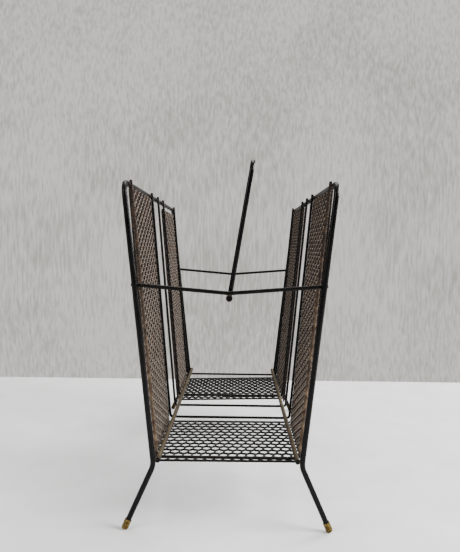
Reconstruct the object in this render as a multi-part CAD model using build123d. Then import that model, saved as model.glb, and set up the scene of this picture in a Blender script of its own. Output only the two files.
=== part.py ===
from build123d import *
from math import asin, atan2, cos, degrees, hypot, radians, sin, sqrt, tan
import os

# Magazine rack of welded wire, millimetres. X is the width, Y runs from the front end to the
# rear end, Z is up, and the origin is on the floor under the middle of the rack.

# Rod and wire diameters
frame_rod = 5.5
cradle_wire = 3.2
brace_wire = 3.9
rail_rod = 4.8
handle_rod = 4.8

# Side frames, measured to the centre of the rod
leg_gap = 19.5              # legs to the end wires of the cradle
knee_half_width = 73.5
knee_height = 65.0
top_half_width = 103.6
top_bar_height = 343.8
foot_splay = 24.0           # degrees from upright, below the knee
knee_bend = 18.0
top_bend = 14.0

# Foot tips
tip_diameter = 7.0
tip_length = 10.5
tip_end_wall = 3.0
tip_round = 2.2
tip_rim_round = 0.4
tip_flat_depth = 0.4        # how far the rounded end is worn flat where it stands

# Cradle wires, numbered from the front
cradle_length = 391.0
middle_wire_spacing = 54.7
floor_half_width = 75.0
front_wire_half_width = 72.6  # at the floor, bent in closer round the bottom rails
floor_height = 66.5
cradle_bend = 4.0
wire_end_rise = 3.4         # wire ends above the centre of the top bar

# Bottom rails, V braces
rail_end_overhang = 1.3     # past the centre of the legs
brace_point_height = 235.9
brace_slope = 4.65          # degrees
brace_end_overhang = 1.1    # past the outside of the leg
brace_bend = 20.0

# Carrying handle and its eyes
eye_outside = 6.4
eye_length = 8.0
eye_clearance = 0.05        # round the handle rod
handle_rise = 137.7         # eye to the middle of the grip
handle_lean = 9.3           # degrees to the right of upright
handle_foot_bend = 5.0
handle_top_bend = 11.0
handle_side_gap = 0.5       # between the eye and the bend of the handle
handle_end_overhang = 0.6   # past the eye

# Expanded metal sheets
mesh_thickness = 2.2
mesh_cell_long = 20.2
mesh_cell_short = 9.3
mesh_strand = 1.1
side_mesh_end_overhang = 1.2    # past the end wire
side_mesh_inner_overhang = 0.6  # past the second and fourth wire
side_mesh_foot = 8.0        # below the floor wires, down the slope
side_mesh_top_gap = 0.3     # under the top bar
loose_sheet_drop = 6.0      # rear left sheet, lower than the others
floor_mesh_front_overhang = 3.0  # front sheet, ahead of the end wire
floor_mesh_inner_overhang = 2.5  # rear sheet, ahead of the fourth wire
floor_mesh_end_gap = 9.7    # front sheet, short of the second wire
floor_mesh_side_overhang = 0.5  # past the corners of the cradle
front_floor_sag = 1.5       # the front sheet's right edge, which has come loose
rear_floor_sag = 6.0        # the rear sheet's left edge, which has too

# How far welded pieces are pressed into each other
weld_depth = 0.2
sheet_weld_depth = 0.03

# Places that several pieces share
leg_y = cradle_length / 2 + leg_gap
leg_lean = atan2(top_half_width - knee_half_width, top_bar_height - knee_height)
wire_ys = [-cradle_length / 2, -middle_wire_spacing, 0.0, middle_wire_spacing, cradle_length / 2]
wire_touch = (frame_rod + cradle_wire) / 2 - weld_depth
brace_y = leg_y - (frame_rod + brace_wire) / 2 + weld_depth
floor_mesh_half_width = floor_half_width + floor_mesh_side_overhang
floor_mesh_length = wire_ys[1] - wire_ys[0] + floor_mesh_front_overhang - floor_mesh_end_gap
brace_middle_height = brace_point_height + brace_bend * (1 / cos(radians(brace_slope)) - 1)
eye_height = brace_middle_height - (brace_wire + eye_outside) / 2 + weld_depth


def leg_half_width(height):
    return knee_half_width + (height - knee_height) * tan(leg_lean)


def cradle_side(half_width):
    """Length up the slope of a cradle side to the top bar, and its lean from upright."""
    across = top_half_width - half_width
    rise = top_bar_height - floor_height
    run = hypot(across, rise)
    return sqrt(run**2 - wire_touch**2), atan2(across, rise) - asin(wire_touch / run)


def bent_rod(points, bends, diameter):
    path = FilletPolyline(*points, radius=bends)
    start = Plane(origin=path @ 0, z_dir=path % 0)
    return sweep(start * Circle(diameter / 2), path=path).solid()


def on_right_and_left(shape):
    return {"right": shape, "left": mirror(shape, about=Plane.YZ)}


def foot_end():
    """Where the closed end of the right front foot tip meets the leg's centre line."""
    splay = radians(foot_splay)
    round_drop = (tip_diameter / 2 - tip_round) * sin(splay) + tip_round * (1 - cos(splay))
    height = round_drop - tip_flat_depth
    reach = (knee_height - height) * tan(splay)
    return Vector(knee_half_width + reach, -leg_y, height)


def leg_direction():
    """Up along the right lower leg, from the foot to the knee."""
    splay = radians(foot_splay)
    return Vector(-sin(splay), 0, cos(splay))


def side_frame():
    foot = foot_end() + leg_direction() * tip_end_wall
    front = [
        (foot.X, foot.Y, foot.Z),
        (knee_half_width, -leg_y, knee_height),
        (top_half_width, -leg_y, top_bar_height),
    ]
    rear = [(x, -y, z) for x, y, z in reversed(front)]
    return bent_rod(front + rear, [knee_bend, top_bend, top_bend, knee_bend], frame_rod)


def foot_tip():
    cap = Cylinder(tip_diameter / 2, tip_length, align=(Align.CENTER, Align.CENTER, Align.MIN))
    ends = cap.edges().filter_by(GeomType.CIRCLE).sort_by(Axis.Z)
    cap = fillet(ends[0], tip_round)
    rim = cap.edges().filter_by(GeomType.CIRCLE).sort_by(Axis.Z)[-1]
    cap = fillet(rim, tip_rim_round)
    depth = tip_length - tip_end_wall
    bore = Cylinder(frame_rod / 2, depth, align=(Align.CENTER, Align.CENTER, Align.MIN))
    cap -= Pos(0, 0, tip_end_wall) * bore
    placed = Plane(origin=foot_end(), x_dir=(0, 1, 0), z_dir=leg_direction()) * cap
    return placed.split(Plane.XY, keep=Keep.TOP).solid()


def cradle(y, half_width):
    slope_to_bar, lean = cradle_side(half_width)
    top = slope_to_bar * cos(lean) + wire_end_rise
    end_x = half_width + top * tan(lean)
    end_z = floor_height + top
    points = [
        (-end_x, y, end_z),
        (-half_width, y, floor_height),
        (half_width, y, floor_height),
        (end_x, y, end_z),
    ]
    return bent_rod(points, cradle_bend, cradle_wire)


def bottom_rail():
    height = floor_height + (cradle_wire + rail_rod) / 2 - weld_depth
    reach = (frame_rod + rail_rod) / 2 - weld_depth
    x = leg_half_width(height) - reach / cos(leg_lean)
    rail = Cylinder(rail_rod / 2, 2 * (leg_y + rail_end_overhang), rotation=(90, 0, 0))
    return Pos(x, 0, height) * rail


def brace(y):
    rise = tan(radians(brace_slope))
    outside = frame_rod / 2 / cos(leg_lean) + brace_end_overhang
    end_x = leg_half_width(brace_point_height) + outside
    end_x /= 1 - rise * tan(leg_lean)
    end_z = brace_point_height + end_x * rise
    points = [(-end_x, y, end_z), (0, y, brace_point_height), (end_x, y, end_z)]
    return bent_rod(points, brace_bend, brace_wire)


def handle_eye(y):
    sleeve = Circle(eye_outside / 2) - Circle(handle_rod / 2 + eye_clearance)
    tube = extrude(Plane.XZ * sleeve, eye_length / 2, both=True)
    return (Pos(0, y, eye_height) * tube).solid()


def carrying_handle():
    eye_inside = brace_y - eye_length / 2
    upright_y = eye_inside - handle_side_gap - handle_foot_bend
    end_y = brace_y + eye_length / 2 + handle_end_overhang
    points = [
        (0, -end_y, 0),
        (0, -upright_y, 0),
        (0, -upright_y, handle_rise),
        (0, upright_y, handle_rise),
        (0, upright_y, 0),
        (0, end_y, 0),
    ]
    bends = [handle_foot_bend, handle_top_bend, handle_top_bend, handle_foot_bend]
    upright = bent_rod(points, bends, handle_rod)
    return Pos(0, 0, eye_height) * Rot(0, handle_lean, 0) * upright


def mesh_sheet(length, width):
    """Expanded metal lying flat: whole diamond openings in staggered rows, length along X."""
    narrowing = 1 - mesh_strand / 2 * hypot(1 / mesh_cell_long, 1 / mesh_cell_short) * 2
    half_long = mesh_cell_long / 2 * narrowing
    half_short = mesh_cell_short / 2 * narrowing
    opening = [(half_long, 0), (0, half_short), (-half_long, 0), (0, -half_short)]
    x_limit = (length - mesh_strand) / 2 - half_long
    y_limit = (width - mesh_strand) / 2 - half_short
    rows = int(y_limit / (mesh_cell_short / 2))
    openings = []
    for row in range(-rows, rows + 1):
        y = row * mesh_cell_short / 2
        shift = mesh_cell_long / 2 if row % 2 else 0
        columns = int((x_limit + shift) / mesh_cell_long) + 1
        for column in range(-columns, columns + 1):
            x = column * mesh_cell_long + shift
            if abs(x) <= x_limit:
                openings.append(Wire.make_polygon([(x + a, y + b, 0) for a, b in opening]))
    return Face(Wire.make_rect(length, width), openings)


def side_mesh(end, drop):
    """Sheet outside the right hand wires; end is -1 at the front and 1 at the rear."""
    slope_to_bar, lean = cradle_side(floor_half_width)
    sheet_out = cradle_wire / 2 - sheet_weld_depth
    bar_gap = wire_touch - sheet_out - mesh_thickness
    bar_reach = sqrt((frame_rod / 2) ** 2 - bar_gap**2)
    top = slope_to_bar - bar_reach - side_mesh_top_gap - drop
    outer_y = cradle_length / 2 + side_mesh_end_overhang
    inner_y = middle_wire_spacing - side_mesh_inner_overhang
    up = Vector(sin(lean), 0, cos(lean))
    out = Vector(cos(lean), 0, -sin(lean))
    corner = Vector(floor_half_width, 0, floor_height)
    middle = corner + up * ((top - side_mesh_foot) / 2) + out * sheet_out
    middle = middle + Vector(0, end * (outer_y + inner_y) / 2, 0)
    flat = mesh_sheet(outer_y - inner_y, top + side_mesh_foot)
    placed = Plane(origin=middle, x_dir=(0, 1, 0), z_dir=out) * flat
    return extrude(placed, mesh_thickness, dir=out)


def floor_mesh(start_y, sag):
    """Sheet under the floor wires, running back from start_y, with its right edge sag lower."""
    top = floor_height - cradle_wire / 2 + sheet_weld_depth
    middle = (0, start_y + floor_mesh_length / 2, top)
    flat = mesh_sheet(floor_mesh_length, 2 * floor_mesh_half_width)
    placed = Plane(origin=middle, x_dir=(0, 1, 0), z_dir=(0, 0, -1)) * flat
    sheet = extrude(placed, mesh_thickness, dir=(0, 0, -1))
    held_edge = Axis((-floor_mesh_half_width, 0, top), (0, 1, 0))
    return sheet.rotate(held_edge, degrees(asin(sag / (2 * floor_mesh_half_width))))


def all_pieces():
    pieces = {}
    for side, shape in on_right_and_left(side_frame()).items():
        pieces[f"{side}_side_frame"] = shape
    for side, shape in on_right_and_left(foot_tip()).items():
        pieces[f"front_{side}_foot_tip"] = shape
        pieces[f"rear_{side}_foot_tip"] = mirror(shape, about=Plane.XZ)
    for number, y in enumerate(wire_ys, start=1):
        half_width = front_wire_half_width if number == 1 else floor_half_width
        pieces[f"cradle_wire_{number}"] = cradle(y, half_width)
    for side, shape in on_right_and_left(bottom_rail()).items():
        pieces[f"{side}_bottom_rail"] = shape
    for name, y in (("front", -brace_y), ("rear", brace_y)):
        pieces[f"{name}_brace_wire"] = brace(y)
        pieces[f"{name}_handle_eye"] = handle_eye(y)
    pieces["carrying_handle"] = carrying_handle()
    for side, shape in on_right_and_left(side_mesh(-1, 0)).items():
        pieces[f"front_{side}_side_mesh"] = shape
    pieces["rear_right_side_mesh"] = side_mesh(1, 0)
    pieces["rear_left_side_mesh"] = mirror(side_mesh(1, loose_sheet_drop), about=Plane.YZ)
    pieces["front_floor_mesh"] = floor_mesh(wire_ys[0] - floor_mesh_front_overhang, front_floor_sag)
    rear_floor = floor_mesh(wire_ys[3] - floor_mesh_inner_overhang, rear_floor_sag)
    pieces["rear_floor_mesh"] = mirror(rear_floor, about=Plane.YZ)
    return pieces


os.makedirs("parts", exist_ok=True)
for node, piece in all_pieces().items():
    export_step(piece, f"parts/{node}.step")
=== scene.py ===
import bpy
import math
from mathutils import Matrix, Vector


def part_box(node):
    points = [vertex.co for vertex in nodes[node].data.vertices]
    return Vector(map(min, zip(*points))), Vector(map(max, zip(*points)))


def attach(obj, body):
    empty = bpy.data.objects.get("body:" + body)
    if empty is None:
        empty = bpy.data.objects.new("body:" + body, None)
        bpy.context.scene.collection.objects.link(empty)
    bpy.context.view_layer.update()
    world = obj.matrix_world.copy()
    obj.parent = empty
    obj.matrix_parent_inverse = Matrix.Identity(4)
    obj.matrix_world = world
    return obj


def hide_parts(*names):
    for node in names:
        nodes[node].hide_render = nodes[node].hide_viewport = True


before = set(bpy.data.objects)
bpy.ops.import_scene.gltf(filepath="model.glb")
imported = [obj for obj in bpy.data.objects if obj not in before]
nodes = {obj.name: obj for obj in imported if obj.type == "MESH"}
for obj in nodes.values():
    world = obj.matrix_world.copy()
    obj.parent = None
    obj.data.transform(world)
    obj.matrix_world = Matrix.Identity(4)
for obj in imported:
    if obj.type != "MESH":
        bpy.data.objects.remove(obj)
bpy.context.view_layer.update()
mm = 0.001
print("frame loaded:", len(nodes), "nodes")


# camera, worked out for a standing rack seen from its front end, a little above its rim

view = {
    "place": (7.5 * mm, -777.0 * mm, 280.5 * mm),
    "heading": 0.71,  # degrees, turned left of straight along the rack
    "lookDown": 2.78,
    "roll": 0.58,
    "focal": 37.73,
    "sensor": 36.0,
    "clipStart": 0.01,
}


def makeCamera(spec):
    data = bpy.data.cameras.new("rackCamera")
    data.lens = spec["focal"]
    data.sensor_width = spec["sensor"]
    data.clip_start = spec["clipStart"]
    camera = bpy.data.objects.new("rackCamera", data)
    bpy.context.scene.collection.objects.link(camera)
    turn = Matrix.Rotation(math.radians(spec["heading"]), 4, "Z")
    tilt = Matrix.Rotation(math.radians(90 - spec["lookDown"]), 4, "X")
    roll = Matrix.Rotation(math.radians(spec["roll"]), 4, "Z")
    camera.matrix_world = Matrix.Translation(spec["place"]) @ turn @ tilt @ roll
    bpy.context.scene.camera = camera


makeCamera(view)


# materials

noiseRange = (0.3, 0.7)  # where nearly all of a noise texture's values lie
upwardRange = (0.25, 0.95)  # how far a face looks up, from bare to fully dusted
bumpStrength = 0.5


def hexToLinear(code):
    values = [int(code[i:i + 2], 16) / 255 for i in (1, 3, 5)]
    linear = [v / 12.92 if v <= 0.04045 else ((v + 0.055) / 1.055) ** 2.4 for v in values]
    return (*linear, 1.0)


def addNode(tree, kind, links=None, **settings):
    # settings are the node's own, links maps an input's name or number to a value or an output
    node = tree.nodes.new(kind)
    for name, value in settings.items():
        setattr(node, name, value)
    for name, value in (links or {}).items():
        if isinstance(value, bpy.types.NodeSocket):
            tree.links.new(value, node.inputs[name])
        else:
            node.inputs[name].default_value = value
    return node


def startMaterial(name, **fixed):
    material = bpy.data.materials.new(name)
    material.use_nodes = True
    tree = material.node_tree
    tree.nodes.clear()
    shader = addNode(tree, "ShaderNodeBsdfPrincipled", fixed)
    addNode(tree, "ShaderNodeOutputMaterial", {"Surface": shader.outputs[0]})
    place = addNode(tree, "ShaderNodeTexCoord").outputs["Object"]
    return {"material": material, "tree": tree, "shader": shader, "place": place}


def noise(tree, place, size, detail=3.0, roughness=0.55):
    # size is the width of one blotch, in metres
    links = {"Vector": place, "Scale": 1 / size, "Detail": detail, "Roughness": roughness}
    return addNode(tree, "ShaderNodeTexNoise", links).outputs["Fac"]


def ramp(tree, value, stops):
    node = addNode(tree, "ShaderNodeValToRGB", {0: value})
    points = node.color_ramp.elements
    while len(points) < len(stops):
        points.new(0.5)
    for point, (position, code) in zip(points, stops):
        point.position = position
        point.color = hexToLinear(code)
    return node.outputs["Color"]


def spread(tree, value, low, high, start=0.0, end=1.0):
    links = {"Value": value, "From Min": low, "From Max": high, "To Min": start, "To Max": end}
    return addNode(tree, "ShaderNodeMapRange", links).outputs["Result"]


def mixColour(tree, factor, first, second):
    links = {0: factor, 6: first, 7: second}
    return addNode(tree, "ShaderNodeMix", links, data_type="RGBA").outputs[2]


def maths(tree, operation, first, second=0.0):
    return addNode(tree, "ShaderNodeMath", {0: first, 1: second}, operation=operation).outputs[0]


def times(tree, first, second):
    return maths(tree, "MULTIPLY", first, second)


def axisOf(tree, vector, axis):
    return addNode(tree, "ShaderNodeSeparateXYZ", {0: vector}).outputs[axis]


def facingUp(tree):
    # 0 on faces that look down or sideways, 1 on those that look up
    normal = addNode(tree, "ShaderNodeNewGeometry").outputs["Normal"]
    return spread(tree, axisOf(tree, normal, "Z"), *upwardRange)


def addDust(tree, place, under, wear):
    # patchy dust that only lies on upper faces
    blotches = noise(tree, place, wear["dustSize"])
    patches = spread(tree, blotches, *wear["dustEdges"], *wear["dustCover"])
    cover = times(tree, facingUp(tree), patches)
    return mixColour(tree, cover, under, hexToLinear(wear["dust"]))


def finishMaterial(made, colour, roughness, wear):
    # the steps that every finish ends with: colour, roughness and a fine bump
    tree, shader = made["tree"], made["shader"]
    tree.links.new(colour, shader.inputs["Base Color"])
    tree.links.new(roughness, shader.inputs["Roughness"])
    height = noise(tree, made["place"], wear["grainSize"])
    links = {"Height": height, "Distance": wear["grainDepth"], "Strength": bumpStrength}
    bump = addNode(tree, "ShaderNodeBump", links)
    tree.links.new(bump.outputs["Normal"], shader.inputs["Normal"])
    return made["material"]


def startEnamel(wear):
    return startMaterial(wear["name"], IOR=1.5, **{"Specular IOR Level": wear["shine"]})


# stoved black enamel on steel rod: near black, satin, with rubbed patches, dust on top and a few
# brown chips that break the long highlights
rodWear = {
    "name": "satinBlackEnamel",
    "shine": 0.13,
    "patchSize": 14 * mm,
    "enamel": [(0.35, "#020202"), (0.65, "#050404")],
    "dust": "#58524b",
    "dustSize": 5 * mm,
    "dustEdges": (0.42, 0.75),
    "dustCover": (0, 0.12),
    "chip": "#2c1c12",
    "chipSize": 3.2 * mm,
    "chipEdges": (0.71, 0.74),
    "roughness": (0.24, 0.38),
    "grainSize": 0.9 * mm,
    "grainDepth": 0.05 * mm,
}
# the same enamel on thin wire, where it has worn duller and a little browner
wireWear = {
    "name": "wornWireEnamel",
    "shine": 0.11,
    "patchSize": 9 * mm,
    "enamel": [(0.3, "#030202"), (0.7, "#080605")],
    "dust": "#4f4740",
    "dustSize": 4 * mm,
    "dustEdges": (0.35, 0.7),
    "dustCover": (0, 0.22),
    "chip": "#33231a",
    "chipSize": 2.4 * mm,
    "chipEdges": (0.66, 0.7),
    "roughness": (0.36, 0.55),
    "grainSize": 0.8 * mm,
    "grainDepth": 0.05 * mm,
}


def makeBlackEnamel(wear):
    made = startEnamel(wear)
    tree, place = made["tree"], made["place"]
    patches = noise(tree, place, wear["patchSize"])
    dusty = addDust(tree, place, ramp(tree, patches, wear["enamel"]), wear)
    chips = spread(tree, noise(tree, place, wear["chipSize"], detail=5.0), *wear["chipEdges"])
    chipped = mixColour(tree, chips, dusty, hexToLinear(wear["chip"]))
    roughness = spread(tree, patches, *noiseRange, *wear["roughness"])
    return finishMaterial(made, chipped, roughness, wear)


# the front wire: brown all the way up its sides and tan low down, partly rust and dust and partly
# painted light of the wire's lit inner side; the run across the floor and the wire's ends stay
# black
frontWireWear = {
    "name": "rustAndPaintedLightWireEnamel",
    "shine": 0.2,
    "patchSize": 9 * mm,
    "enamel": [(0.3, "#050303"), (0.7, "#140d09")],
    "rustSize": 5 * mm,
    "brown": [(0.3, "#120b07"), (0.5, "#261a12"), (0.7, "#463425")],
    "tan": [(0.3, "#2a1c12"), (0.5, "#574636"), (0.7, "#7b6a56")],
    "tanHeights": (280 * mm, 110 * mm),  # none above the first, all tan below the second
    "floorHeights": (69 * mm, 78 * mm),
    "endHeights": (348 * mm, 338 * mm),
    "wornSize": 12 * mm,
    "wornEdges": (0.3, 0.5),
    "wornCover": (0.35, 1.0),
    "roughness": (0.4, 0.75),
    "grainSize": 0.8 * mm,
    "grainDepth": 0.07 * mm,
}


def makeRustAndPaintedLightWire(wear):
    made = startEnamel(wear)
    tree, place = made["tree"], made["place"]
    height = axisOf(tree, place, "Z")
    fine = noise(tree, place, wear["rustSize"], detail=5.0)
    enamel = ramp(tree, noise(tree, place, wear["patchSize"]), wear["enamel"])
    lowDown = spread(tree, height, *wear["tanHeights"])
    # painted light: the brown, and the tan low down, stand partly for rust and dust, partly for the
    # wire's lit inner side
    rust = mixColour(tree, lowDown, ramp(tree, fine, wear["brown"]), ramp(tree, fine, wear["tan"]))
    aboveFloor = spread(tree, height, *wear["floorHeights"])
    belowEnd = spread(tree, height, *wear["endHeights"])
    blotches = noise(tree, place, wear["wornSize"])
    patchy = spread(tree, blotches, *wear["wornEdges"], *wear["wornCover"])
    worn = times(tree, times(tree, aboveFloor, belowEnd), patchy)
    roughness = spread(tree, worn, 0.0, 1.0, *wear["roughness"])
    return finishMaterial(made, mixColour(tree, worn, enamel, rust), roughness, wear)


# enamel rubbed thin by magazines over bare steel gone brown: a dusty tan top on a dark rod, with
# burnt black ends where it is welded to the legs
railWear = {
    "name": "rubbedRailEnamel",
    "shine": 0.15,
    "patchSize": 12 * mm,
    "enamel": [(0.3, "#0b0906"), (0.5, "#1f1a13"), (0.7, "#3d3428")],
    "dust": "#63553f",
    "dustSize": 6 * mm,
    "dustEdges": (0.3, 0.6),
    "dustCover": (0.15, 0.6),
    "burnt": "#050403",
    "burntFrom": (211 * mm, 215 * mm),  # measured from the middle of the rail
    "burntCover": (0.0, 0.9),
    "roughness": (0.5, 0.75),
    "grainSize": 0.7 * mm,
    "grainDepth": 0.08 * mm,
}


def makeRailEnamel(wear):
    made = startEnamel(wear)
    tree, place = made["tree"], made["place"]
    patches = noise(tree, place, wear["patchSize"], detail=5.0)
    dusty = addDust(tree, place, ramp(tree, patches, wear["enamel"]), wear)
    fromMiddle = maths(tree, "ABSOLUTE", axisOf(tree, place, "Y"))
    burnt = spread(tree, fromMiddle, *wear["burntFrom"], *wear["burntCover"])
    blackEnded = mixColour(tree, burnt, dusty, hexToLinear(wear["burnt"]))
    roughness = spread(tree, patches, *noiseRange, *wear["roughness"])
    return finishMaterial(made, blackEnded, roughness, wear)


# old black enamel on expanded steel, gone brown: pale on the strands' upper faces, partly dust and
# partly painted light on the faces that look up, with rust coming through in blotches
sideSheetWear = {
    "name": "agedSheetEnamel",
    "shine": 0.15,
    "patchSize": 16 * mm,
    "enamel": [(0.3, "#0d0805"), (0.5, "#1e150f"), (0.7, "#352820")],
    # the pale tone on the upper faces is partly dust, partly painted light on the lit faces
    "dust": "#9a8c80",
    "dustSize": 5 * mm,
    "dustEdges": (0.3, 0.7),
    "dustCover": (0.45, 0.95),
    "rust": "#4a2c17",
    "rustSize": 7 * mm,
    "rustEdges": (0.6, 0.7),
    "rustCover": (0, 0.7),
    "roughness": (0.45, 0.7),
    "grainSize": 0.6 * mm,
    "grainDepth": 0.06 * mm,
}
# painted shade: the floor sheets, in the cradle's shade, get a darker copy of the side sheets'
# enamel, with darker, thinner dust and less rust
shadedFloorSheetWear = {
    **sideSheetWear,
    "name": "paintedShadeSheetEnamel",
    "enamel": [(0.3, "#030202"), (0.5, "#0a0806"), (0.7, "#17120f")],
    "dust": "#4a443e",
    "dustCover": (0.0, 0.35),
    "rustCover": (0, 0.35),
}


def makeSheetEnamel(wear):
    made = startEnamel(wear)
    tree, place = made["tree"], made["place"]
    patches = noise(tree, place, wear["patchSize"], detail=4.0)
    dusty = addDust(tree, place, ramp(tree, patches, wear["enamel"]), wear)
    blotches = noise(tree, place, wear["rustSize"], detail=6.0)
    rust = spread(tree, blotches, *wear["rustEdges"], *wear["rustCover"])
    rusty = mixColour(tree, rust, dusty, hexToLinear(wear["rust"]))
    roughness = spread(tree, patches, *noiseRange, *wear["roughness"])
    return finishMaterial(made, rusty, roughness, wear)


# drawn brass cap, unpolished for decades: olive gold in darker blotches, with painted shade that
# darkens the rear pair nearly to black
brassWear = {
    "name": "agedBrass",
    "patchSize": 2.5 * mm,
    "brass": [(0.3, "#382b16"), (0.5, "#66532c"), (0.7, "#8f7b48")],
    # painted shade: the colour the rear tips are darkened towards
    "rearShade": "#16110a",
    "rearShadeFrom": (0.0, 150 * mm),  # along the rack, towards the rear
    "rearShadeCover": (0.0, 0.75),
    "roughness": (0.5, 0.3),
    "grainSize": 0.5 * mm,
    "grainDepth": 0.03 * mm,
}


def makeBrass(wear):
    made = startMaterial(wear["name"], Metallic=1.0)
    tree, place = made["tree"], made["place"]
    patches = noise(tree, place, wear["patchSize"], detail=4.0)
    # painted shade: darker towards the rear of the rack
    atRear = spread(tree, axisOf(tree, place, "Y"), *wear["rearShadeFrom"], *wear["rearShadeCover"])
    brass = ramp(tree, patches, wear["brass"])
    rearShaded = mixColour(tree, atRear, brass, hexToLinear(wear["rearShade"]))
    roughness = spread(tree, patches, *noiseRange, *wear["roughness"])
    return finishMaterial(made, rearShaded, roughness, wear)


# bronze-brown weld metal and burnt enamel round it
weldWear = {
    "name": "burntWeld",
    "shine": 0.2,
    "patchSize": 1.5 * mm,
    "scale": [(0.3, "#0f0a08"), (0.55, "#251913"), (0.8, "#4a392e")],
    "roughness": (0.4, 0.65),
    "grainSize": 0.6 * mm,
    "grainDepth": 0.12 * mm,
}


def makeWeldScale(wear):
    made = startEnamel(wear)
    tree, place = made["tree"], made["place"]
    patches = noise(tree, place, wear["patchSize"], detail=4.0)
    roughness = spread(tree, patches, *noiseRange, *wear["roughness"])
    return finishMaterial(made, ramp(tree, patches, wear["scale"]), roughness, wear)


rodEnamel = makeBlackEnamel(rodWear)
wireEnamel = makeBlackEnamel(wireWear)
rustAndPaintedLightWire = makeRustAndPaintedLightWire(frontWireWear)
railEnamel = makeRailEnamel(railWear)
sheetEnamel = makeSheetEnamel(sideSheetWear)
shadedFloorSheetEnamel = makeSheetEnamel(shadedFloorSheetWear)
agedBrass = makeBrass(brassWear)
burntWeld = makeWeldScale(weldWear)

# by a part of the node's name; the front wire comes after the other wires, so it keeps its own
finishes = {
    "side_frame": rodEnamel,
    "carrying_handle": rodEnamel,
    "cradle_wire": wireEnamel,
    "cradle_wire_1": rustAndPaintedLightWire,
    "brace_wire": wireEnamel,
    "handle_eye": burntWeld,
    "bottom_rail": railEnamel,
    "foot_tip": agedBrass,
}
for nodeName, cadObject in nodes.items():
    for part, material in finishes.items():
        if part in nodeName:
            cadObject.data.materials.clear()
            cadObject.data.materials.append(material)
print("finishes set")


# expanded metal sheets

sheet = {
    "longWay": 20.2 * mm,  # one opening and its knuckle, along the sheet
    "shortWay": 9.3 * mm,
    "strandWidth": 1.0 * mm,
    "strandThickness": 2.2 * mm,
    "tilt": math.radians(18),
    "bendSharpness": 5.0,  # how quickly a strand crosses from one knuckle to the next
    "stepsPerOpening": 20,
    "mergeDistance": 0.02 * mm,
    "frontTrim": 4.5 * mm,  # taken off the front of the two sheets at the front wire
}


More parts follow.
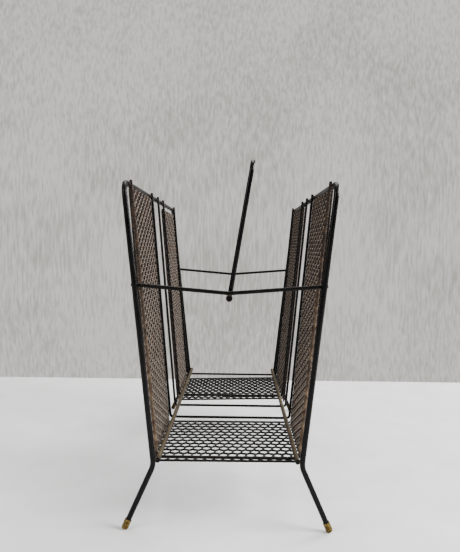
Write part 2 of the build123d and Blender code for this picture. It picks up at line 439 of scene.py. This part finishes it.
def makeSheetTree():
    # rows of strands along X, each one wavy, tall and thin, and a straight strand across each end
    tree = bpy.data.node_groups.new("expandedMetal", "GeometryNodeTree")
    face = tree.interface
    face.new_socket("Geometry", in_out="OUTPUT", socket_type="NodeSocketGeometry")
    for name in ("Length", "Width", "Long Way", "Short Way", "Strand Width", "Strand Thickness",
                 "Tilt", "Bend Sharpness"):
        face.new_socket(name, in_out="INPUT", socket_type="NodeSocketFloat")
    face.new_socket("Steps", in_out="INPUT", socket_type="NodeSocketInt")
    face.new_socket("Finish", in_out="INPUT", socket_type="NodeSocketMaterial")
    given = addNode(tree, "NodeGroupInput").outputs

    def calc(operation, first, second=0.0):
        return maths(tree, operation, first, second)

    def point(x=0.0, y=0.0, z=0.0):
        return addNode(tree, "ShaderNodeCombineXYZ", {0: x, 1: y, 2: z}).outputs[0]

    step = calc("DIVIDE", given["Long Way"], given["Steps"])
    halfSteps = calc("CEIL", calc("DIVIDE", calc("DIVIDE", given["Length"], 2.0), step))
    pointCount = calc("ADD", calc("MULTIPLY", halfSteps, 2.0), 1.0)
    startX = calc("MULTIPLY", calc("MULTIPLY", halfSteps, step), -1.0)
    strandLine = addNode(tree, "GeometryNodeMeshLine", {
        "Count": pointCount, "Start Location": point(startX), "Offset": point(step)})

    rowGap = calc("DIVIDE", given["Short Way"], 2.0)
    rowCount = calc("ROUND", calc("DIVIDE", given["Width"], rowGap))
    lastRow = calc("SUBTRACT", rowCount, 1.0)
    firstY = calc("MULTIPLY", calc("MULTIPLY", lastRow, rowGap), -0.5)
    rowLine = addNode(tree, "GeometryNodeMeshLine", {
        "Count": rowCount, "Start Location": point(y=firstY), "Offset": point(y=rowGap)})
    rows = addNode(tree, "GeometryNodeInstanceOnPoints", {
        "Points": rowLine.outputs[0], "Instance": strandLine.outputs[0]})
    strands = addNode(tree, "GeometryNodeRealizeInstances", {"Geometry": rows.outputs[0]})

    place = addNode(tree, "ShaderNodeSeparateXYZ", {
        0: addNode(tree, "GeometryNodeInputPosition").outputs[0]}).outputs
    halfLength = calc("DIVIDE", given["Length"], 2.0)
    backLimit = calc("MULTIPLY", halfLength, -1.0)
    along = calc("MINIMUM", calc("MAXIMUM", place["X"], backLimit), halfLength)
    row = calc("ROUND", calc("DIVIDE", calc("SUBTRACT", place["Y"], firstY), rowGap))
    side = calc("SUBTRACT", 1.0, calc("MULTIPLY", calc("FLOORED_MODULO", row, 2.0), 2.0))
    turns = calc("DIVIDE", along, given["Long Way"])
    share = calc("FRACT", calc("ADD", turns, 100.0))  # 100 whole turns keep it above zero
    fromPeak = calc("ABSOLUTE", calc("SUBTRACT", share, 0.5))
    triangle = calc("SUBTRACT", calc("MULTIPLY", fromPeak, 4.0), 1.0)
    steep = calc("MULTIPLY", triangle, given["Bend Sharpness"])
    flatTopped = calc("MINIMUM", calc("MAXIMUM", steep, -1.0), 1.0)
    wave = calc("MULTIPLY", side, calc("SINE", calc("MULTIPLY", flatTopped, math.pi / 2)))
    halfStrand = calc("DIVIDE", given["Strand Width"], 2.0)
    leaning = calc("MULTIPLY", halfStrand, calc("COSINE", given["Tilt"]))
    reach = calc("SUBTRACT", calc("DIVIDE", rowGap, 2.0), leaning)
    across = calc("ADD", place["Y"], calc("MULTIPLY", wave, reach))
    lift = calc("MULTIPLY", halfStrand, calc("SINE", given["Tilt"]))
    height = calc("MULTIPLY", calc("MULTIPLY", wave, lift), -1.0)
    waved = addNode(tree, "GeometryNodeSetPosition", {
        "Geometry": strands.outputs[0], "Position": point(along, across, height)})
    trimmed = addNode(tree, "GeometryNodeMergeByDistance", {
        "Geometry": waved.outputs[0], "Distance": sheet["mergeDistance"]})
    edgeX = calc("SUBTRACT", halfLength, halfStrand)
    edges = []
    for end in (edgeX, calc("MULTIPLY", edgeX, -1.0)):
        edges.append(addNode(tree, "GeometryNodeMeshLine", {
            "Count": rowCount, "Start Location": point(end, firstY), "Offset": point(y=rowGap)}))
    lines = addNode(tree, "GeometryNodeJoinGeometry")
    for source in (trimmed, *edges):
        tree.links.new(source.outputs[0], lines.inputs[0])
    path = addNode(tree, "GeometryNodeMeshToCurve", {"Mesh": lines.outputs[0]})
    upright = addNode(tree, "GeometryNodeSetCurveNormal", {"Curve": path.outputs[0]}, mode="Z_UP")
    section = addNode(tree, "GeometryNodeCurvePrimitiveQuadrilateral", {
        "Width": given["Strand Width"], "Height": given["Strand Thickness"]})
    turned = addNode(tree, "GeometryNodeTransform", {
        "Geometry": section.outputs[0], "Rotation": point(z=given["Tilt"])})
    swept = addNode(tree, "GeometryNodeCurveToMesh", {
        "Curve": upright.outputs[0], "Profile Curve": turned.outputs[0], "Fill Caps": True})
    whole = addNode(tree, "GeometryNodeRealizeInstances", {"Geometry": swept.outputs[0]})
    finished = addNode(tree, "GeometryNodeSetMaterial", {
        "Geometry": whole.outputs[0], "Material": given["Finish"]})
    addNode(tree, "NodeGroupOutput", {0: finished.outputs[0]})
    return tree


def runTree(name, tree, values, start=None):
    # runs a Geometry Nodes tree on an empty or given mesh and returns the plain mesh that it makes
    carrier = bpy.data.objects.new(name, start or bpy.data.meshes.new(name))
    bpy.context.scene.collection.objects.link(carrier)
    modifier = carrier.modifiers.new("pattern", "NODES")
    modifier.node_group = tree
    for item in tree.interface.items_tree:
        if item.item_type == "SOCKET" and item.in_out == "INPUT" and item.name in values:
            modifier[item.identifier] = values[item.name]
    graph = bpy.context.evaluated_depsgraph_get()
    made = bpy.data.meshes.new_from_object(carrier.evaluated_get(graph))
    carrier.modifiers.clear()
    carrier.data = made
    made.name = name
    return carrier


def platePlacement(nodeName):
    # middle, directions and sizes of a thin plate whose length runs along the rack
    points = [v.co.copy() for v in nodes[nodeName].data.vertices]
    low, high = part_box(nodeName)
    if "side" in nodeName:
        outward = 1 if low.x > 0 else -1
        first = min(points, key=lambda p: p.z)
        last = max(points, key=lambda p: p.x * outward)
        across = Vector((last.x - first.x, 0, last.z - first.z))
        out = Vector((across.z, 0, -across.x)).normalized() * outward
    else:
        first = min(points, key=lambda p: p.x)
        last = max(points, key=lambda p: p.x)
        across = Vector((last.x - first.x, 0, last.z - first.z))
        out = Vector((across.z, 0, -across.x)).normalized()
    depths = [p.dot(out) for p in points]
    reaches = [p.dot(across.normalized()) for p in points]
    return {
        "middleY": (low.y + high.y) / 2,
        "length": high.y - low.y,
        "width": max(reaches) - min(reaches),
        "across": across.normalized(),
        "out": out,
        "inside": min(depths),
        "reach": (max(reaches) + min(reaches)) / 2,
    }


def makeSheets():
    tree = makeSheetTree()
    rise = sheet["strandWidth"] * math.sin(sheet["tilt"]) * 2
    rise += sheet["strandThickness"] * math.cos(sheet["tilt"])
    for nodeName in sorted(n for n in nodes if n.endswith("_mesh")):
        plate = platePlacement(nodeName)
        openings = round(plate["width"] / sheet["shortWay"])
        trim = sheet["frontTrim"] if nodeName.startswith("front") and "side" in nodeName else 0.0
        leansOut = nodeName.endswith("left_side_mesh") or "floor" in nodeName
        values = {
            "Length": plate["length"] - trim,
            "Width": plate["width"],
            "Long Way": sheet["longWay"],
            "Short Way": plate["width"] / openings,
            "Strand Width": sheet["strandWidth"],
            "Strand Thickness": sheet["strandThickness"],
            "Tilt": sheet["tilt"] if leansOut else -sheet["tilt"],
            "Bend Sharpness": sheet["bendSharpness"],
            "Steps": sheet["stepsPerOpening"],
            # the floor sheets take the darker copy, which is painted shade
            "Finish": shadedFloorSheetEnamel if "floor" in nodeName else sheetEnamel,
        }
        piece = runTree("expanded_" + nodeName, tree, values)
        middle = plate["across"] * plate["reach"] + plate["out"] * (plate["inside"] + rise / 2)
        middle.y = plate["middleY"] + trim / 2
        along = Vector((0, 1, 0))
        place = Matrix((along, plate["across"], plate["out"])).transposed().to_4x4()
        place.translation = middle
        piece.data.transform(place)
        if place.determinant() < 0:
            piece.data.flip_normals()
        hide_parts(nodeName)
        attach(piece, "rack")
        print(piece.name, len(piece.data.polygons), "faces")


makeSheets()


# welds

weld = {
    "barBead": (1.5 * mm, 2.9 * mm, 2.2 * mm),
    "railBead": (2.2 * mm, 2.6 * mm, 1.5 * mm),
    "legBead": (1.4 * mm, 2.8 * mm, 2.4 * mm),
    "braceBead": (2.6 * mm, 1.4 * mm, 2.2 * mm),
    "eyeBead": (2.3 * mm, 2.6 * mm, 1.3 * mm),
    "spotBead": (0.9 * mm, 1.1 * mm, 1.1 * mm),
    "spotSpacing": 46.5 * mm,
    "spotOffset": 0.7,  # of the wire's radius, towards the rear
    "braceInset": 3.9 * mm,  # from the brace's end to its weld
    "roughness": 0.7 * mm,
    "rippleSize": 1.8 * mm,
    "seed": 4.0,
    "rodRadius": 2.75 * mm,  # of the side frames' rod
}


def makeBeadTree():
    # a lumpy bead on every point, as large as the point's size attribute says
    tree = bpy.data.node_groups.new("weldBeads", "GeometryNodeTree")
    face = tree.interface
    face.new_socket("Geometry", in_out="OUTPUT", socket_type="NodeSocketGeometry")
    face.new_socket("Geometry", in_out="INPUT", socket_type="NodeSocketGeometry")
    face.new_socket("Roughness", in_out="INPUT", socket_type="NodeSocketFloat")
    face.new_socket("Seed", in_out="INPUT", socket_type="NodeSocketFloat")
    face.new_socket("Finish", in_out="INPUT", socket_type="NodeSocketMaterial")
    given = addNode(tree, "NodeGroupInput").outputs
    bead = addNode(tree, "GeometryNodeMeshIcoSphere", {"Radius": 1.0, "Subdivisions": 2})
    size = addNode(tree, "GeometryNodeInputNamedAttribute", {"Name": "size"},
                   data_type="FLOAT_VECTOR")
    beads = addNode(tree, "GeometryNodeInstanceOnPoints", {
        "Points": given["Geometry"], "Instance": bead.outputs[0], "Scale": size.outputs[0]})
    whole = addNode(tree, "GeometryNodeRealizeInstances", {"Geometry": beads.outputs[0]})
    ripple = addNode(tree, "ShaderNodeTexNoise", {
        "W": given["Seed"], "Scale": 1 / weld["rippleSize"]}, noise_dimensions="4D")
    swell = maths(tree, "SUBTRACT", ripple.outputs["Fac"], 0.5)
    amount = times(tree, swell, given["Roughness"])
    normal = addNode(tree, "GeometryNodeInputNormal").outputs[0]
    outward = addNode(tree, "ShaderNodeVectorMath", {0: normal, "Scale": amount}, operation="SCALE")
    lumpy = addNode(tree, "GeometryNodeSetPosition", {
        "Geometry": whole.outputs[0], "Offset": outward.outputs[0]})
    finished = addNode(tree, "GeometryNodeSetMaterial", {
        "Geometry": lumpy.outputs[0], "Material": given["Finish"]})
    addNode(tree, "NodeGroupOutput", {0: finished.outputs[0]})
    return tree


def middleOf(nodeName):
    low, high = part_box(nodeName)
    return (low + high) / 2


def radiusOf(nodeName, axis):
    # of a straight rod, or of one that stays in a plane across this axis
    low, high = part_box(nodeName)
    return getattr(high - low, axis) / 2


def frameSpots(wires):
    # beads under the top bars, on the rails and between the rails and the legs
    spots = []
    rod = weld["rodRadius"]
    for side, outward in (("left", -1), ("right", 1)):
        low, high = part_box(side + "_side_frame")
        rail = middleOf(side + "_bottom_rail")
        railRadius = radiusOf(side + "_bottom_rail", "z")
        barInside = (high.x if outward > 0 else low.x) - outward * 2 * rod
        legY = (high.y - low.y) / 2 - rod
        for wire in wires:
            y = middleOf(wire).y
            spots.append(((barInside, y, high.z - rod), weld["barBead"]))
            spots.append(((rail.x, y, rail.z - railRadius), weld["railBead"]))
        for y in (-legY, legY):
            spots.append(((rail.x + outward * railRadius, y, rail.z), weld["legBead"]))
    return spots


def braceSpots():
    # beads where the braces cross the legs and where the eyes hang from the braces
    spots = []
    for end, outward in (("front", -1), ("rear", 1)):
        brace = end + "_brace_wire"
        low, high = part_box(brace)
        radius = radiusOf(brace, "y")
        y = middleOf(brace).y
        for x in (low.x + weld["braceInset"], high.x - weld["braceInset"]):
            spots.append(((x, y + outward * radius, high.z - radius), weld["braceBead"]))
        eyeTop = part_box(end + "_handle_eye")[1].z
        spots.append(((0, y, eyeTop), weld["eyeBead"]))
    return spots


def sheetSpots(wires):
    # small spot welds up the slope, where a side sheet lies on its wires; the front wire has none
    spots = []
    offset = radiusOf(wires[0], "y") * weld["spotOffset"]
    for nodeName in sorted(n for n in nodes if n.endswith("_side_mesh")):
        plate = platePlacement(nodeName)
        heldBy = (wires[1],) if "front" in nodeName else (wires[3], wires[4])
        for wire in heldBy:
            reach = plate["reach"] - plate["width"] / 2 + weld["spotSpacing"] / 3
            while reach < plate["reach"] + plate["width"] / 2:
                place = plate["across"] * reach + plate["out"] * plate["inside"]
                place.y = middleOf(wire).y + offset
                spots.append((tuple(place), weld["spotBead"]))
                reach += weld["spotSpacing"]
    return spots


def makeWelds():
    wires = sorted(n for n in nodes if n.startswith("cradle_wire"))
    spots = frameSpots(wires) + braceSpots() + sheetSpots(wires)
    start = bpy.data.meshes.new("weldSpots")
    start.from_pydata([place for place, size in spots], [], [])
    sizes = start.attributes.new("size", "FLOAT_VECTOR", "POINT")
    for item, (place, size) in zip(sizes.data, spots):
        item.vector = size
    values = {"Roughness": weld["roughness"], "Seed": weld["seed"], "Finish": burntWeld}
    piece = runTree("weld_beads", makeBeadTree(), values, start)
    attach(piece, "rack")
    print("welds:", len(spots))


makeWelds()


# floor and light

stage = {
    "reach": 12.0,  # to the sides and towards the viewer
    "backEdge": 0.443,  # where the floor meets the wall
    "patchSize": 60 * mm,
    "tones": [(0.3, "#e0e1e0"), (0.7, "#ebecec")],
    "roughness": 0.6,
}


def makeStage():
    reach, back = stage["reach"], stage["backEdge"]
    corners = [(-reach, -reach, 0), (reach, -reach, 0), (reach, back, 0), (-reach, back, 0)]
    data = bpy.data.meshes.new("paleFloor")
    data.from_pydata(corners, [], [(0, 1, 2, 3)])
    floor = bpy.data.objects.new("paleFloor", data)
    bpy.context.scene.collection.objects.link(floor)
    made = startMaterial("paintedFloor", Roughness=stage["roughness"])
    tree = made["tree"]
    patches = noise(tree, made["place"], stage["patchSize"], detail=5.0)
    tree.links.new(ramp(tree, patches, stage["tones"]), made["shader"].inputs["Base Color"])
    data.materials.append(made["material"])


room = {
    "wall": [(0.1, "#aaa79f"), (0.7, "#cdcac6")],
    "cloudSize": 0.18,  # as a share of the view's direction, like the grain
    "cloudShare": 0.4,  # of the wall's tone, the grain has the rest
    "grainSize": 0.0035,
    "grainEdges": (0.35, 0.65),
    "grainShare": 0.6,
    "streak": 0.12,  # how far the grain is drawn out upward
    "wallStrength": 1.32,  # as the camera sees it behind the rack
    "glowBehind": 0.75,  # as it lights the rack, from the wall's side
    "glowInFront": 0.03,  # and from the viewer's side, a dim room
    "aim": (0, 0, 0.2),  # the point that every lamp faces
}
lights = {
    "window": {"place": (2.3, -0.8, 1.7), "size": 1.3, "power": 155},
    "fill": {"place": (-2.0, -1.5, 1.5), "size": 1.6, "power": 55},
    "rim": {"place": (2.1, 1.5, 1.0), "size": 0.9, "power": 70},
    "ceiling": {"place": (0.2, 0.9, 2.6), "size": 1.8, "power": 64},
}


def makeWorld():
    world = bpy.data.worlds.new("softRoom")
    world.use_nodes = True
    tree = world.node_tree
    background = tree.nodes["Background"]
    direction = addNode(tree, "ShaderNodeTexCoord").outputs["Generated"]
    drawnOut = {0: direction, "Scale": (1.0, 1.0, room["streak"])}
    streaks = addNode(tree, "ShaderNodeMapping", drawnOut).outputs[0]
    clouds = noise(tree, direction, room["cloudSize"], detail=3.0)
    grain = noise(tree, streaks, room["grainSize"], detail=6.0)
    patchy = spread(tree, clouds, *noiseRange, 0.0, room["cloudShare"])
    gritty = spread(tree, grain, *room["grainEdges"], 0.0, room["grainShare"])
    wall = ramp(tree, maths(tree, "ADD", patchy, gritty), room["wall"])
    tree.links.new(wall, background.inputs["Color"])
    depth = axisOf(tree, direction, "Y")
    glow = spread(tree, depth, -0.5, 0.5, room["glowInFront"], room["glowBehind"])
    seen = addNode(tree, "ShaderNodeLightPath").outputs["Is Camera Ray"]
    strength = addNode(tree, "ShaderNodeMix", {
        "Factor": seen, "A": glow, "B": room["wallStrength"]}).outputs["Result"]
    tree.links.new(strength, background.inputs["Strength"])
    bpy.context.scene.world = world


def makeLights():
    for name, spec in lights.items():
        data = bpy.data.lights.new(name, "AREA")
        data.size = spec["size"]
        data.energy = spec["power"]
        lamp = bpy.data.objects.new(name, data)
        lamp.location = spec["place"]
        aim = Vector(room["aim"]) - Vector(spec["place"])
        lamp.rotation_euler = aim.to_track_quat("-Z", "Y").to_euler()
        bpy.context.scene.collection.objects.link(lamp)


makeStage()
makeWorld()
makeLights()
print("stage and lights set")
